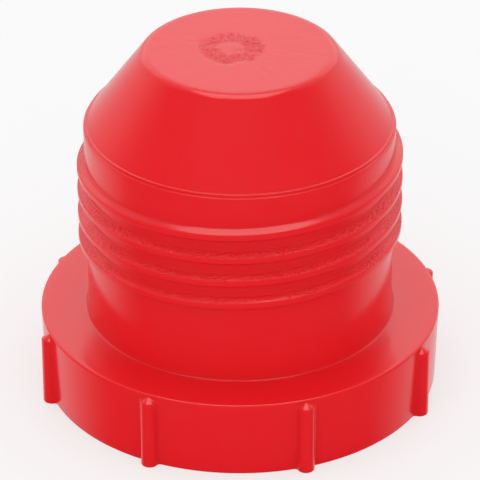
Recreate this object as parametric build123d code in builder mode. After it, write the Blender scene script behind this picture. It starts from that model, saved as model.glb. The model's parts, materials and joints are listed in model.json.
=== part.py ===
"""Moulded plug for a 37 degree flare nut, thread 1 1/16-12 UN, in one piece.

It stands on the open rim of its round head, nose up.  Z is the plug's axis and z = 0
is the rim's plane.  The core is open at the rim and leaves an even wall all round.
Lengths are in millimetres and angles in degrees.
"""
from build123d import *

from math import atan2, cos, radians, sin, tan
import os

# Head: a drafted disc with half-round grip ribs
head_diameter = 33.6
head_height = 6.7
head_draft = 1.9              # the rim end is the smaller one
head_edge_chamfer = 0.15
rib_count = 8
rib_radius = 0.72
rib_inset = 0.06              # from the head's upper edge in to the ribs' centres
rib_point_angle = 118.0       # full angle of the cone at a rib's upper end
rib_shoulder_drop = 0.62      # from the head's face down to where that cone starts
rib_root_radius = 0.25

# Shank: from the head's face to the ledge under the nose
neck_diameter = 25.56
neck_foot_diameter = 26.0
neck_flare_height = 2.2
pilot_diameter = 25.76
shank_length = 17.25
ledge_edge_chamfer = 0.2

# Nose: the flare seat and its flat end
seat_half_angle = 37.0
seat_diameter = 25.1
nose_length = 6.41
nose_edge_radius = 1.1

# Thread: right-hand, with the shallow ridge of a moulded plug
thread_major_diameter = 26.99
thread_pitch = 25.4 / 12
thread_crest_width = 0.5
thread_flank_angle = 30.0     # each side
thread_start_rise = 6.13      # from the head's face up to the ridge's lower end
thread_end_drop = 2.27233     # from the ledge down to its upper end
thread_start_angle = 41.4     # of the lower end about Z, from +X
thread_root_bite = 0.3        # how far the ridge's foot reaches into the shank
runout_height = 1.8           # of the flats at the thread's ends, less than a pitch
runout_bite = 0.05            # how far those flats cut into the shank

# Core: open at the rim, wider inside the head
shank_wall = 1.9
nose_wall = 2.0
head_wall = 2.2
head_web = 2.2

# Sizes that follow from those
head_radius = head_diameter / 2
rim_radius = head_radius - head_height * tan(radians(head_draft))
rib_circle_radius = head_radius - rib_inset
neck_radius = neck_diameter / 2
foot_radius = neck_foot_diameter / 2
pilot_radius = pilot_diameter / 2
seat_radius = seat_diameter / 2
seat_slope = tan(radians(seat_half_angle))
nose_radius = seat_radius - nose_length * seat_slope
flare_top = head_height + neck_flare_height
ledge_height = head_height + shank_length
nose_height = ledge_height + nose_length
thread_turns = (shank_length - thread_start_rise - thread_end_drop) / thread_pitch


def shank_radius(height):
    """Radius of the slightly tapered shank at a height above the rim's plane."""
    share = (height - flare_top) / (ledge_height - flare_top)
    return neck_radius + share * (pilot_radius - neck_radius)


def about_axis(radius, angle, height=0.0):
    """Point at a radius and an angle about the plug's axis."""
    return (radius * cos(radians(angle)), radius * sin(radians(angle)), height)


def corner(sketch, radius, height):
    """The sketch's vertex at a radius and a height."""
    return sketch.vertices().sort_by_distance((radius, height, 0))[0]


with BuildPart() as threaded_plug:
    # Thread ridge: a trapezium swept along a helix just under the shank's surface
    ridge_start = head_height + thread_start_rise
    ridge_foot = shank_radius(ridge_start) - thread_root_bite
    ridge_depth = thread_major_diameter / 2 - ridge_foot
    crest_half_width = thread_crest_width / 2
    foot_half_width = crest_half_width + ridge_depth * tan(radians(thread_flank_angle))
    with BuildLine(Plane.XY.offset(ridge_start).rotated((0, 0, thread_start_angle))):
        Helix(thread_pitch, thread_turns * thread_pitch, ridge_foot)
    across_ridge = Plane(
        origin=about_axis(ridge_foot, thread_start_angle, ridge_start),
        x_dir=about_axis(1, thread_start_angle),
        z_dir=about_axis(1, thread_start_angle - 90),
    )
    with BuildSketch(across_ridge):
        with BuildLine():
            Polyline(
                (0, -foot_half_width),
                (ridge_depth, -crest_half_width),
                (ridge_depth, crest_half_width),
                (0, foot_half_width),
                close=True,
            )
        make_face()
    sweep(is_frenet=True)

    # Each end of the ridge runs out on a flat, wide enough to clear the crest
    for turns in (0, thread_turns):
        end_height = ridge_start + turns * thread_pitch
        end_angle = thread_start_angle + 360 * turns
        flat_distance = shank_radius(end_height) - runout_bite
        flat = Plane(
            origin=about_axis(flat_distance, end_angle, end_height),
            x_dir=about_axis(1, end_angle + 90),
            z_dir=about_axis(1, end_angle),
        )
        with BuildSketch(flat):
            Rectangle(neck_radius, runout_height)
        extrude(amount=thread_major_diameter - 2 * flat_distance, mode=Mode.SUBTRACT)

    # Outside of the head, shank and nose; the neck's flare ends upright
    flare_turn = 2 * atan2(foot_radius - neck_radius, neck_flare_height)
    flare_radius = neck_flare_height / sin(flare_turn)
    with BuildSketch(Plane.XZ) as outside:
        with BuildLine():
            Polyline((0, 0), (rim_radius, 0), (head_radius, head_height), (foot_radius, head_height))
            RadiusArc((foot_radius, head_height), (neck_radius, flare_top), flare_radius)
            Polyline(
                (neck_radius, flare_top),
                (pilot_radius, ledge_height),
                (seat_radius, ledge_height),
                (nose_radius, nose_height),
                (0, nose_height),
                (0, 0),
            )
        make_face()
        chamfer(corner(outside, head_radius, head_height), head_edge_chamfer)
        chamfer(corner(outside, pilot_radius, ledge_height), ledge_edge_chamfer)
        fillet(corner(outside, nose_radius, nose_height), nose_edge_radius)
    revolve(axis=Axis.Z)

    # Grip ribs: upright half rounds with a small radius down each side, then a shallow
    # cone on the upper end of each
    rib_shoulder = head_height - rib_shoulder_drop
    rib_point = rib_radius / tan(radians(rib_point_angle / 2))
    with PolarLocations(rib_circle_radius, rib_count):
        Cylinder(rib_radius, rib_shoulder, align=(Align.CENTER, Align.CENTER, Align.MIN))
    head_edges = threaded_plug.edges().filter_by(lambda edge: edge.center().Z < head_height)
    rib_roots = head_edges.filter_by(lambda edge: rib_shoulder - rib_radius < edge.length < head_height)
    fillet(rib_roots, rib_root_radius)
    with Locations((0, 0, rib_shoulder)):
        with PolarLocations(rib_circle_radius, rib_count):
            Cone(rib_radius, 0, rib_point, align=(Align.CENTER, Align.CENTER, Align.MIN))

    # Core: follows the outside at an even wall
    recess_radius = rim_radius - head_wall
    recess_height = head_height - head_web
    bore_radius = neck_radius - shank_wall
    inner_seat_radius = seat_radius - shank_wall / cos(radians(seat_half_angle))
    bore_height = ledge_height - (bore_radius - inner_seat_radius) / seat_slope
    core_height = nose_height - nose_wall
    core_end_radius = inner_seat_radius - (core_height - ledge_height) * seat_slope
    with BuildSketch(Plane.XZ) as core:
        with BuildLine():
            Polyline(
                (0, 0),
                (recess_radius, 0),
                (recess_radius, recess_height),
                (bore_radius, recess_height),
                (bore_radius, bore_height),
                (core_end_radius, core_height),
                (0, core_height),
                close=True,
            )
        make_face()
    revolve(axis=Axis.Z, mode=Mode.SUBTRACT)

threaded_plug.part.label = "threaded_plug"
os.makedirs("parts", exist_ok=True)
export_step(threaded_plug.part, "parts/threaded_plug.step")
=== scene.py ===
"""Moulded red plug for a flared fitting: visual model, studio and camera.

One closed mesh stands for the CAD solid.  It is built in vertical columns: each
column follows the plug's section from the core's end, down the core, round the rim and
up the outside to the middle of the nose, and neighbouring columns are stitched.
Lengths are in metres and mm turns millimetres into them.  Angles are in radians,
but for those of the thread, which are in degrees because they count whole turns.
"""
from math import acos, atan2, ceil, cos, degrees, hypot, pi, radians, sin, tan
import json

import bpy
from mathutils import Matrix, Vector, noise


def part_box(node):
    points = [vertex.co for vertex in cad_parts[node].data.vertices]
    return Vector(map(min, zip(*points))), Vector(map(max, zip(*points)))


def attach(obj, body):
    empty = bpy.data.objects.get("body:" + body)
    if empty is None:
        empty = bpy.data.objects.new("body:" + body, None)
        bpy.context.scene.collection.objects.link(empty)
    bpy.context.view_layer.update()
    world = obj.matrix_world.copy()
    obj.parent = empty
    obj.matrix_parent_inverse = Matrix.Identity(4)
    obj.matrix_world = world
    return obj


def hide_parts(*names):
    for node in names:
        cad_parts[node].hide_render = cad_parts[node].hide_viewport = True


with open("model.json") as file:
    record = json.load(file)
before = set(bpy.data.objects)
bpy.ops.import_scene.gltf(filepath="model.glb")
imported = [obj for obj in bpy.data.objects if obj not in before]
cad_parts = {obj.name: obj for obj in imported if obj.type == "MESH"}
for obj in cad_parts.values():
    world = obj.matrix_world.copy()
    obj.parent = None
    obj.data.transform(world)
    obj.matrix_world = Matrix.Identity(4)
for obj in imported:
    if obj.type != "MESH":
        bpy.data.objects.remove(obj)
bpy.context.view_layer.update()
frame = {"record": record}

mm = 0.001

# Sizes that the frame gives
node = "threaded_plug"
mounts = {mount["name"]: mount for mount in frame["record"]["mounts"]}
box_low, box_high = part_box(node)
nose_top = box_high.z
head_top = mounts["head_face"]["pos_m"][2]
ledge = mounts["flare_seat"]["pos_m"][2]

# Head
head_radius = 16.8 * mm
head_draft = radians(1.9)
head_edge = 0.18 * mm
rim_edge = 0.1 * mm
rib_count = 8
rib_radius = 0.72 * mm
rib_circle = box_high.x - rib_radius
rib_root = 0.25 * mm
rib_root_share = 0.6          # of a rib's radius, the most that its root takes where the rib closes
rib_point_angle = radians(118)
rib_point_round = 0.12 * mm
rib_shoulder = head_top - 0.62 * mm

# Shank
foot_radius = 13.0 * mm
neck_radius = 12.78 * mm
foot_round = 0.14 * mm
flare_height = 2.2 * mm
pilot_radius = 12.88 * mm

# The ledge's edge is a small step: inset from the pilot, drop from the ledge and rounding
ledge_corners = [
    (0, 0.28 * mm, 0.08 * mm),
    (0.16 * mm, 0.26 * mm, 0.03 * mm),
    (0.17 * mm, 0.02 * mm, 0.06 * mm),
]

# Nose
seat_radius = 12.55 * mm
seat_foot_round = 0.04 * mm
nose_radius = 7.88 * mm
nose_edge = 1.0 * mm
nose_support = 2.4 * mm       # from the nose's end out to the last ring on the seat

# Gate: a torn ring on the nose's end
gate_middle = (-0.55 * mm, 0.45 * mm)
gate_radius = 1.9 * mm
gate_half_width = 0.95 * mm
gate_wander = 0.35 * mm
gate_bite = 0.12 * mm
gate_reach = 0.2 * mm         # below the nose's end, the depth that counts as the gate's

# Thread
pitch = 25.4 / 12 * mm
crest_radius = 13.495 * mm
crest_half_width = 0.25 * mm
flank_slope = 1 / tan(radians(30))
thread_start = head_top + 6.13 * mm
thread_start_angle = 41.4
thread_turns = 4.18
runout_bite = 0.05 * mm
runout_reach = 30             # from the ridge's end to where its flat no longer cuts
crest_round = 0.12 * mm
root_round = 0.16 * mm

# Scuffs: on the ridge's upper side, but not on its last turn
scuff_low, scuff_high = 0.1 * mm, 0.9 * mm    # above a turn's middle
scuff_fade_low, scuff_fade_high = 0.15 * mm, 0.2 * mm
scuff_turns = thread_turns - 0.8
scuff_cover = 0.75            # mean strength, to which patches add and from which they take
scuff_skin = 0.05 * mm        # how far the ridge stands out where scuffs begin

# Core
recess_radius = 14.38 * mm
recess_height = head_top - 2.2 * mm
bore_radius = 10.88 * mm
inner_seat_radius = 10.17 * mm
bore_height = 23.0 * mm
core_height = nose_top - 2.0 * mm
core_end_radius = 6.85 * mm
core_round = 0.4 * mm

# Mesh density
rib_steps = 5                 # half of a rib's round
root_steps = 4
wall_steps = 9                # from a rib's root to halfway to the next rib
arc_steps = 4
flare_steps = 6
nose_edge_steps = 10
nose_end_steps = 36
support_share = 0.45          # of a side of the section, the most a rounding may take for support
support_step = 0.12 * mm      # from a rounding's end to its support
nose_support_step = 0.3 * mm
ledge_support_step = 0.05 * mm
# Heights in mm of the rings up the head's side, close together where the ribs close
side_heights = [0.3, 0.8, 1.8, 3.0, 4.2, 5.2, 5.7, 5.95]
side_heights += [6.03, 6.08, 6.12, 6.17, 6.23, 6.3, 6.36, 6.42, 6.48]
# Heights in mm of a column's points above a turn's middle, and as far below it
turn_offsets = [0, 0.15, 0.2, 0.24, 0.28, 0.33, 0.42, 0.52, 0.6, 0.66, 0.72, 0.8]
face_insets = [0.6 * mm, 1.8 * mm, 2.8 * mm]    # of the head face's rings from the head's edge
neck_rises = [3.2 * mm, 4.2 * mm]               # of the rings between the neck's flare and the thread
thread_low = head_top + 5.0 * mm    # from here to thread_high each column has its own heights
thread_high = ledge - 1.2 * mm
thread_gap = 0.3 * mm         # from thread_high to the first ring above it
thread_spare = 25             # past the ridge's ends, where columns still have its heights
coarse_step = 0.5 * mm        # above and below the ridge
level_step = 0.02 * mm        # heights closer than this lie level
last_key = 1e6                # above every other key of a column


def smooth_max(a, b, blend):
    """The larger of two lengths, with the corner between them rounded."""
    return max(a, b) + max(blend - abs(a - b), 0) ** 2 / (4 * blend)


def smooth_min(a, b, blend):
    """The smaller of two lengths, with the corner between them rounded."""
    return min(a, b) - max(blend - abs(a - b), 0) ** 2 / (4 * blend)


def rounded(corners, steps=arc_steps, support=support_step):
    """Section points (radius, height) through corners (radius, height, rounding)."""
    points = [Vector(corners[0][:2])]
    for before, here, after in zip(corners, corners[1:], corners[2:]):
        place = Vector(here[:2])
        if here[2] == 0:
            points.append(place)
            continue
        back = Vector(before[:2]) - place
        onward = Vector(after[:2]) - place
        room = min(back.length, onward.length)
        back.normalize()
        onward.normalize()
        half = back.angle(onward) / 2
        reach = here[2] / tan(half)
        centre = place + (back + onward).normalized() * (here[2] / sin(half))
        start = place + back * reach - centre
        turn = (pi - 2 * half) / steps
        if start.x * onward.y - start.y * onward.x < 0:
            turn = -turn
        supported = reach + support < support_share * room
        if supported:
            points.append(place + back * (reach + support))
        for step in range(steps + 1):
            angle = turn * step
            spin = Vector((
                start.x * cos(angle) - start.y * sin(angle),
                start.x * sin(angle) + start.y * cos(angle),
            ))
            points.append(centre + spin)
        if supported:
            points.append(place + onward * (reach + support))
    points.append(Vector(corners[-1][:2]))
    return [(point.x, point.y) for point in points]


def half_outline(wall, rib, root):
    """Points (radius, angle) of the head's outline from a rib's crown to halfway to the next."""
    root_distance = wall + root
    cosine = rib_circle ** 2 + root_distance ** 2 - (rib + root) ** 2
    cosine /= 2 * rib_circle * root_distance
    wall_angle = acos(min(cosine, 1))
    root_x, root_y = root_distance * cos(wall_angle), root_distance * sin(wall_angle)
    rib_angle = atan2(root_y, root_x - rib_circle)
    points = []
    for step in range(rib_steps + 1):
        angle = rib_angle * step / rib_steps
        points.append((rib_circle + rib * cos(angle), rib * sin(angle)))
    for step in range(1, root_steps + 1):
        angle = pi + rib_angle + (wall_angle - rib_angle) * step / root_steps
        points.append((root_x + root * cos(angle), root_y + root * sin(angle)))
    polar = [(hypot(x, y), atan2(y, x)) for x, y in points]
    for step in range(1, wall_steps + 1):
        polar.append((wall, wall_angle + (pi / rib_count - wall_angle) * step / wall_steps))
    return polar


def all_round(half):
    """Points (radius, angle) all round the head, from those of half_outline."""
    sector = [(radius, -angle) for radius, angle in half[:0:-1]] + half[:-1]
    return [
        (radius, angle + 2 * pi * number / rib_count)
        for number in range(rib_count)
        for radius, angle in sector
    ]


def outline(wall, rib, root):
    """Points (radius, angle) all round the head; without a rib to show, a plain circle."""
    if wall >= rib_circle + rib:
        return all_round([(wall, angle) for _, angle in home_half])
    return all_round(half_outline(wall, rib, min(root, rib_root_share * rib)))


def wall_at(height):
    """Radius of the head's wall, without its edge."""
    return head_radius - (head_top - height) * tan(head_draft)


def rib_at(height):
    """Radius of a rib's round, which closes to a point above the shoulder."""
    cone = (rib_shoulder - height) * tan(rib_point_angle / 2) + rib_radius
    return max(smooth_min(rib_radius, cone, rib_point_round), 0)


def shank_at(height):
    """Radius of the shank between the neck's flare and the ledge, without the thread."""
    share = (height - head_top - flare_height) / (ledge - head_top - flare_height)
    return neck_radius + share * (pilot_radius - neck_radius)


def thread_middles(angle, spare):
    """(height, degrees from the nearer end of the ridge) of each turn at an angle in degrees."""
    ridge_end = thread_start_angle + 360 * thread_turns
    first = ceil((thread_start_angle - spare - angle) / 360)
    last = int((ridge_end + spare - angle) // 360)
    middles = []
    for turn in range(first, last + 1):
        along = angle + 360 * turn
        height = thread_start + pitch * (along - thread_start_angle) / 360
        middles.append((height, min(along - thread_start_angle, ridge_end - along)))
    return middles


def threaded_at(height, middles):
    """Radius of the shank with its thread, whose ends run out on flats."""
    base = shank_at(height)
    radius = base
    for middle, from_end in middles:
        top = crest_radius
        if from_end < runout_reach:
            top = min(top, (base - runout_bite) / cos(radians(from_end)))
        if top > base:
            flank = crest_radius - (abs(height - middle) - crest_half_width) * flank_slope
            ridge = smooth_min(top, flank, crest_round)
            radius = max(radius, smooth_max(base, ridge, root_round))
    return radius


def thread_heights(angle, low, high):
    """Heights for a column's points from low to high: close together on the thread's edges."""
    offsets = [-offset for offset in turn_offsets[:0:-1]] + turn_offsets
    middles = [middle for middle, _ in thread_middles(degrees(angle), thread_spare)]
    fine = [middle + offset * mm for middle in middles for offset in offsets]
    fine += [middle + pitch / 2 for middle in middles[:-1]]
    fine = sorted(height for height in fine if low < height < high)
    below, above = fine[0] - coarse_step / 3, fine[-1] + coarse_step / 3
    coarse = [low + number * coarse_step for number in range(int((high - low) / coarse_step) + 1)]
    return sorted(fine + [height for height in coarse if height < below or height > above])


# The angles of all columns are those of the head's outline at the ribs' shoulders
home_half = half_outline(wall_at(rib_shoulder), rib_radius, rib_root)
home = [angle for _, angle in all_round(home_half)]


def ring(radius, height):
    """Points all round at one radius and height."""
    return [(radius * cos(angle), radius * sin(angle), height) for angle in home]


def head_ring(height, inset=0.0):
    """Points round the head with its ribs, all set in by the same amount."""
    points = outline(wall_at(height) - inset, rib_at(height) - inset, rib_root + inset)
    return [(radius * cos(angle), radius * sin(angle), height) for radius, angle in points]


def lower_rings():
    """Rings from the core's end to the foot of the thread."""
    core = rounded([
        (0, core_height, 0),
        (core_end_radius, core_height, core_round),
        (bore_radius, bore_height, core_round),
        (bore_radius, recess_height, core_round / 2),
        (recess_radius, recess_height, core_round),
        (recess_radius, 0, rim_edge),
        (recess_radius + 0.5 * mm, 0, 0),
    ])
    rings = [ring(radius, height) for radius, height in core[1:]]
    for step in range(arc_steps + 1):
        angle = pi / 2 * step / arc_steps
        height = rim_edge * (1 - cos(angle))
        rings.append(head_ring(height, rim_edge * (1 - sin(angle))))
    rings += [head_ring(height * mm) for height in side_heights]
    edge_low = head_top - head_edge
    for step in range(arc_steps + 1):
        angle = pi / 2 * step / arc_steps
        height = edge_low + head_edge * sin(angle)
        radius = wall_at(edge_low) - head_edge * (1 - cos(angle))
        rings.append(ring(radius, height))
    flare_turn = 2 * atan2(foot_radius - neck_radius, flare_height)
    flare_radius = flare_height / sin(flare_turn)
    face = rounded([
        (head_radius - head_edge, head_top, 0),
        *[(head_radius - inset, head_top, 0) for inset in face_insets],
        (foot_radius, head_top, foot_round),
        (foot_radius - 0.5 * mm * tan(flare_turn), head_top + 0.5 * mm, 0),
    ])
    rings += [ring(radius, height) for radius, height in face[1:-1]]
    for step in range(1, flare_steps + 1):
        rise = flare_height * step / flare_steps
        left = flare_height - rise
        radius = neck_radius + flare_radius - (flare_radius ** 2 - left ** 2) ** 0.5
        rings.append(ring(radius, head_top + rise))
    rings += [ring(shank_at(head_top + rise), head_top + rise) for rise in neck_rises]
    return rings


def upper_rings():
    """Rings from the head of the thread to the middle of the nose."""
    seat_rise = (nose_top - ledge) / (seat_radius - nose_radius)
    outside = rounded([
        (shank_at(thread_high + thread_gap), thread_high + thread_gap, 0),
        *[(pilot_radius - inset, ledge - drop, edge) for inset, drop, edge in ledge_corners],
        (seat_radius, ledge, seat_foot_round),
        (nose_radius + nose_support, nose_top - nose_support * seat_rise, 0),
    ], support=ledge_support_step)
    crown = rounded([
        outside[-1] + (0,),
        (nose_radius, nose_top, nose_edge),
        (0, nose_top, 0),
    ], steps=nose_edge_steps, support=nose_support_step)
    rings = [ring(radius, height) for radius, height in outside + crown[1:-1]]
    for step in range(1, nose_end_steps):
        flat_ring = ring(crown[-2][0] * (1 - step / nose_end_steps), nose_top)
        rings.append([(x, y, height - gate_depth(x, y)) for x, y, height in flat_ring])
    return rings


def gate_share(x, y):
    """0 to 1: how far inside the gate's torn ring a place on the nose's end is."""
    from_middle = hypot(x - gate_middle[0], y - gate_middle[1])
    wander = gate_wander * noise.noise(Vector((x, y, 0)) / mm * 0.9)
    share = 1 - abs(from_middle + wander - gate_radius) / gate_half_width
    return min(max(share * 2, 0), 1)


def gate_depth(x, y):
    """How far the torn mark of the gate lies below the nose's end."""
    place = Vector((x, y, 0)) / mm
    torn = noise.noise(place * 2.3 + Vector((3.1, 0.4, 7.7))) + 0.6 * noise.noise(place * 5.1)
    return gate_share(x, y) * gate_bite * max(0.3 + torn, 0)


def columns():
    """For each column, its points in order as (key, point); equal keys lie level.

    The keys are heights in the thread's zone, negative below it and 1 or more above it.
    """
    low_rings, high_rings = lower_rings(), upper_rings()
    made = []
    for number, angle in enumerate(home):
        column = [(index - len(low_rings), points[number]) for index, points in enumerate(low_rings)]
        middles = thread_middles(degrees(angle), thread_spare)
        for height in thread_heights(angle, thread_low, thread_high):
            radius = threaded_at(height, middles)
            column.append((height, (radius * cos(angle), radius * sin(angle), height)))
        column += [(1 + index, points[number]) for index, points in enumerate(high_rings)]
        made.append(column)
    return made


def stitch(left, right, level):
    """Faces between two columns of (key, vertex), quads where the keys agree to within level."""
    faces = []
    a = b = 0
    while a < len(left) - 1 or b < len(right) - 1:
        left_key = left[a + 1][0] if a < len(left) - 1 else float("inf")
        right_key = right[b + 1][0] if b < len(right) - 1 else float("inf")
        face = [left[a][1], right[b][1]]
        if right_key <= left_key + level:
            b += 1
            face.append(right[b][1])
        if left_key <= right_key + level:
            a += 1
            face.append(left[a][1])
        face = list(dict.fromkeys(face))
        if len(face) > 2:
            faces.append(face)
    return faces


def plug_mesh():
    """The plug as one closed mesh."""
    vertices = [(0, 0, core_height), (0, 0, nose_top - gate_depth(0, 0))]
    stacks = []
    for column in columns():
        stack = [(-float("inf"), 0)]
        for key, point in column:
            stack.append((key, len(vertices)))
            vertices.append(point)
        stack.append((last_key, 1))
        stacks.append(stack)
    faces = []
    for number, stack in enumerate(stacks):
        faces += stitch(stack, stacks[(number + 1) % len(stacks)], level_step)
    mesh = bpy.data.meshes.new("plug")
    mesh.from_pydata(vertices, [], faces)
    mesh.validate()
    mesh.shade_smooth()
    scuff = mesh.attributes.new("scuff", "FLOAT", "POINT")
    scuff.data.foreach_set("value", [scuffed(Vector(vertex)) for vertex in vertices])
    return mesh


def scuffed(point):
    """0 to 1: how torn the surface is, on the upper side of the thread's ridge and at the gate."""
    if point.z > nose_top - gate_reach:
        return gate_share(point.x, point.y)
    on_ridge = hypot(point.x, point.y) >= shank_at(point.z) + scuff_skin
    if not (on_ridge and thread_low < point.z < thread_high):
        return 0.0
    for middle, _ in thread_middles(degrees(atan2(point.y, point.x)), 0):
        rise = point.z - middle
        if scuff_low < rise < scuff_high and middle < thread_start + pitch * scuff_turns:
            patches = noise.noise(Vector((point.x, point.y, middle * 3)) / mm * 0.3)
            across = min((rise - scuff_low) / scuff_fade_low, (scuff_high - rise) / scuff_fade_high, 1)
            return min(max(scuff_cover + patches, 0), 1) * across
    return 0.0


class Tree:
    """Short ways to add nodes to a material or a world."""

    def __init__(self, owner):
        owner.use_nodes = True
        self.nodes, self.links = owner.node_tree.nodes, owner.node_tree.links

    def add(self, kind, links=(), **values):
        """A node with its sockets set, by name or number, to values or to other nodes' outputs."""
        made = self.nodes.new("ShaderNode" + kind)
        for name, value in values.items():
            setattr(made, name, value)
        for name, value in dict(links).items():
            if isinstance(value, bpy.types.NodeSocket):
                self.links.new(value, made.inputs[name])
            else:
                made.inputs[name].default_value = value
        return made

    def math(self, operation, *values):
        """The result of a Math node."""
        return self.add("Math", enumerate(values), operation=operation).outputs[0]

    def ramp(self, value, low, high):
        """A smooth step from 0 to 1 as value goes from low to high."""
        links = {"Value": value, "From Min": low, "From Max": high}
        return self.add("MapRange", links, interpolation_type="SMOOTHSTEP").outputs[0]


# Plastic
red = (0.83, 0.010, 0.016, 1)
chalky_red = (0.80, 0.016, 0.022, 1)
pigment_clouds, pigment_streaks = 0.7, 0.8
streak_change = 0.05          # how fast the streaks change on their way outwards
gloss_roughness, blotch_roughness, scuff_roughness = 0.14, 0.10, 0.04
peel_height, grain_height, torn_height, streak_height = 0.006, 0.0022, 0.15, 0.03    # in mm

# Studio
floor_size = 4
floor_albedo = 0.9
floor_lift = 0.6              # share of plain white that the camera sees in the floor
world_light = 1.2
dim_from, white_from = -0.2, 0.55    # what gloss mirrors, by direction away from the camera

# Camera, at the photograph's viewing angle
camera_azimuth, camera_elevation, camera_roll = radians(-18.6), radians(30.35), radians(-0.15)
camera_distance = 306.9 * mm
camera_target = Vector((0, 0, head_top + 5.71 * mm))
camera_lens = 274.6


def plug_plastic():
    """Soft-gloss red polyethylene with moulding marks: streaks, orange peel and scuffs."""
    material = bpy.data.materials.new("plug_plastic")
    tree = Tree(material)
    shader = tree.nodes["Principled BSDF"]
    millimetres = tree.add("VectorMath", {
        0: tree.add("TexCoord").outputs["Object"],
        1: (1000, 1000, 1000),
    }, operation="MULTIPLY").outputs[0]
    x, y, z = tree.add("SeparateXYZ", {0: millimetres}).outputs

    def speckle(scale, detail=2.0, vector=millimetres):
        """Noise of a scale, in spots per millimetre for the plug's own coordinates."""
        return tree.add("TexNoise", {"Vector": vector, "Scale": scale, "Detail": detail}).outputs[0]

    # Streaks that run outwards from the gate on the nose's end
    angle = tree.math("ARCTAN2", y, x)
    squares = tree.math("ADD", tree.math("MULTIPLY", x, x), tree.math("MULTIPLY", y, y))
    radius = tree.math("SQRT", squares)
    spokes = tree.add("CombineXYZ", {
        0: tree.math("COSINE", angle),
        1: tree.math("SINE", angle),
        2: tree.math("MULTIPLY", radius, streak_change),
    })
    streaks = speckle(9.0, 4.0, spokes.outputs[0])
    on_nose = tree.ramp(z, nose_top / mm - 0.3, nose_top / mm - 0.05)
    streaks = tree.math("MULTIPLY", tree.math("SUBTRACT", streaks, 0.5), on_nose)

    # Colour: slightly uneven pigment
    clouds = tree.math("MULTIPLY", speckle(0.18), pigment_clouds)
    uneven = tree.math("ADD", clouds, tree.math("MULTIPLY", streaks, pigment_streaks))
    colour = tree.add("Mix", {"Factor": uneven, 6: red, 7: chalky_red}, data_type="RGBA")
    tree.links.new(colour.outputs[2], shader.inputs["Base Color"])

    # Gloss: duller where it is scuffed
    scuff = tree.add("Attribute", attribute_name="scuff").outputs["Fac"]
    blotches = tree.math("MULTIPLY", speckle(0.6), blotch_roughness)
    dull = tree.math("ADD", tree.math("MULTIPLY", scuff, scuff_roughness), blotches)
    tree.links.new(tree.math("ADD", dull, gloss_roughness), shader.inputs["Roughness"])

    # Relief, in millimetres: orange peel, fine grain, scuffs and streaks
    peel = tree.math("MULTIPLY", speckle(1.6), peel_height)
    grain = tree.math("MULTIPLY", speckle(6.0, 3.0), grain_height)
    torn = tree.math("MULTIPLY", tree.math("SUBTRACT", speckle(4.2, 4.0), 0.5), scuff)
    torn = tree.math("MULTIPLY", torn, torn_height)
    flow = tree.math("MULTIPLY", streaks, streak_height)
    relief = tree.math("ADD", tree.math("ADD", peel, grain), tree.math("ADD", torn, flow))
    bump = tree.add("Bump", {"Height": relief, "Distance": mm, "Strength": 1.0})
    tree.links.new(bump.outputs[0], shader.inputs["Normal"])

    shader.inputs["IOR"].default_value = 1.5
    shader.inputs["Subsurface Weight"].default_value = 0.1
    shader.inputs["Subsurface Radius"].default_value = (1.0, 0.12, 0.1)
    shader.inputs["Subsurface Scale"].default_value = 0.6 * mm
    return material


def floor_paint():
    """Matt white, lifted for the camera so that only a light shadow shows."""
    material = bpy.data.materials.new("floor_paint")
    tree = Tree(material)
    shader = tree.nodes["Principled BSDF"]
    shader.inputs["Base Color"].default_value = (floor_albedo, floor_albedo, floor_albedo, 1)
    shader.inputs["Roughness"].default_value = 1
    shader.inputs["Specular IOR Level"].default_value = 0
    lift = tree.math("MULTIPLY", tree.add("LightPath").outputs["Is Camera Ray"], floor_lift)
    white = tree.add("Emission", {"Strength": 1.0})
    mixed = tree.add("MixShader", {0: lift, 1: shader.outputs[0], 2: white.outputs[0]})
    tree.links.new(mixed.outputs[0], tree.nodes["Material Output"].inputs["Surface"])
    return material


plug = bpy.data.objects.new("plug", plug_mesh())
bpy.context.scene.collection.objects.link(plug)
plug.data.materials.append(plug_plastic())
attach(plug, "root")
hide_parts(node)

bpy.ops.mesh.primitive_plane_add(size=floor_size, location=(0, 0, box_low.z))
floor = bpy.context.object
floor.name = "floor"
floor.data.materials.append(floor_paint())
floor.visible_glossy = False


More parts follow.
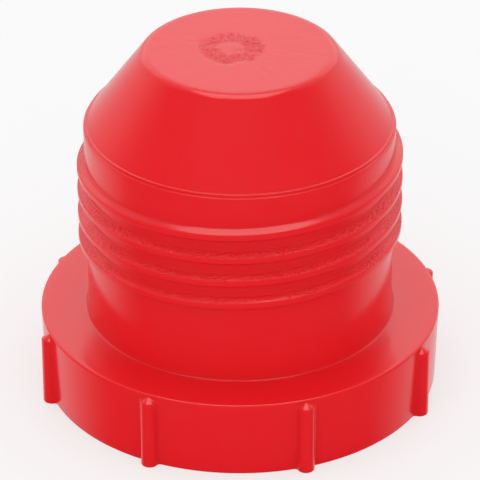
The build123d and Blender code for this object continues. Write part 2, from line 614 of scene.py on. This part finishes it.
def studio_world():
    """White to the camera, even for soft light, and in reflections white behind and dim in front."""
    world = bpy.data.worlds.new("studio")
    bpy.context.scene.world = world
    tree = Tree(world)
    world.cycles.sampling_method = "NONE"    # so that soft light doesn't see what gloss mirrors
    tree.nodes.clear()
    light_path = tree.add("LightPath")
    away = tree.add("VectorMath", {
        0: tree.add("TexCoord").outputs["Generated"],
        1: (-sin(camera_azimuth), cos(camera_azimuth), 0),
    }, operation="DOT_PRODUCT")
    surroundings = tree.ramp(away.outputs["Value"], dim_from, white_from)
    even = tree.add("Background", {"Strength": world_light})
    mirrored = tree.add("Background", {"Strength": surroundings})
    seen = tree.add("Background", {"Strength": 1.0})
    by_gloss = tree.add("MixShader", {
        0: light_path.outputs["Is Glossy Ray"],
        1: even.outputs[0],
        2: mirrored.outputs[0],
    })
    by_camera = tree.add("MixShader", {
        0: light_path.outputs["Is Camera Ray"],
        1: by_gloss.outputs[0],
        2: seen.outputs[0],
    })
    tree.add("OutputWorld", {"Surface": by_camera.outputs[0]})


def softbox(name, azimuth, elevation, distance, width, depth, radiance, mirrored):
    """A rectangular lamp that faces the plug: mirrored, it shows in the gloss, else it only lights.

    Azimuth and elevation are in degrees, the azimuth from the camera's.
    """
    lamp = bpy.data.objects.new(name, bpy.data.lights.new(name, "AREA"))
    bpy.context.scene.collection.objects.link(lamp)
    turn = camera_azimuth + radians(azimuth)
    rise = radians(elevation)
    back = Vector((sin(turn) * cos(rise), -cos(turn) * cos(rise), sin(rise)))
    lamp.location = back * distance + Vector((0, 0, nose_top / 2))
    lamp.rotation_euler = back.to_track_quat("Z", "Y").to_euler()
    lamp.data.shape = "RECTANGLE"
    lamp.data.size, lamp.data.size_y = width, depth
    lamp.data.energy = radiance * pi * width * depth
    lamp.visible_glossy = mirrored
    lamp.visible_diffuse = not mirrored


studio_world()
softbox("overhead", 0, 88, 0.6, 0.5, 0.45, 2.6, mirrored=True)
softbox("behind", 180, 32, 0.9, 1.6, 0.7, 0.7, mirrored=True)
softbox("front", -15, 30, 0.8, 0.7, 0.7, 0.4, mirrored=False)

camera = bpy.data.objects.new("camera", bpy.data.cameras.new("camera"))
bpy.context.scene.collection.objects.link(camera)
bpy.context.scene.camera = camera
camera_back = Vector((
    sin(camera_azimuth) * cos(camera_elevation),
    -cos(camera_azimuth) * cos(camera_elevation),
    sin(camera_elevation),
))
camera.location = camera_target + camera_back * camera_distance
camera.rotation_euler = (-camera_back).to_track_quat("-Z", "Y").to_euler()
camera.rotation_euler.rotate_axis("Z", camera_roll)
camera.data.lens = camera_lens
camera.data.clip_start = 0.01

bpy.context.scene.view_settings.view_transform = "Standard"
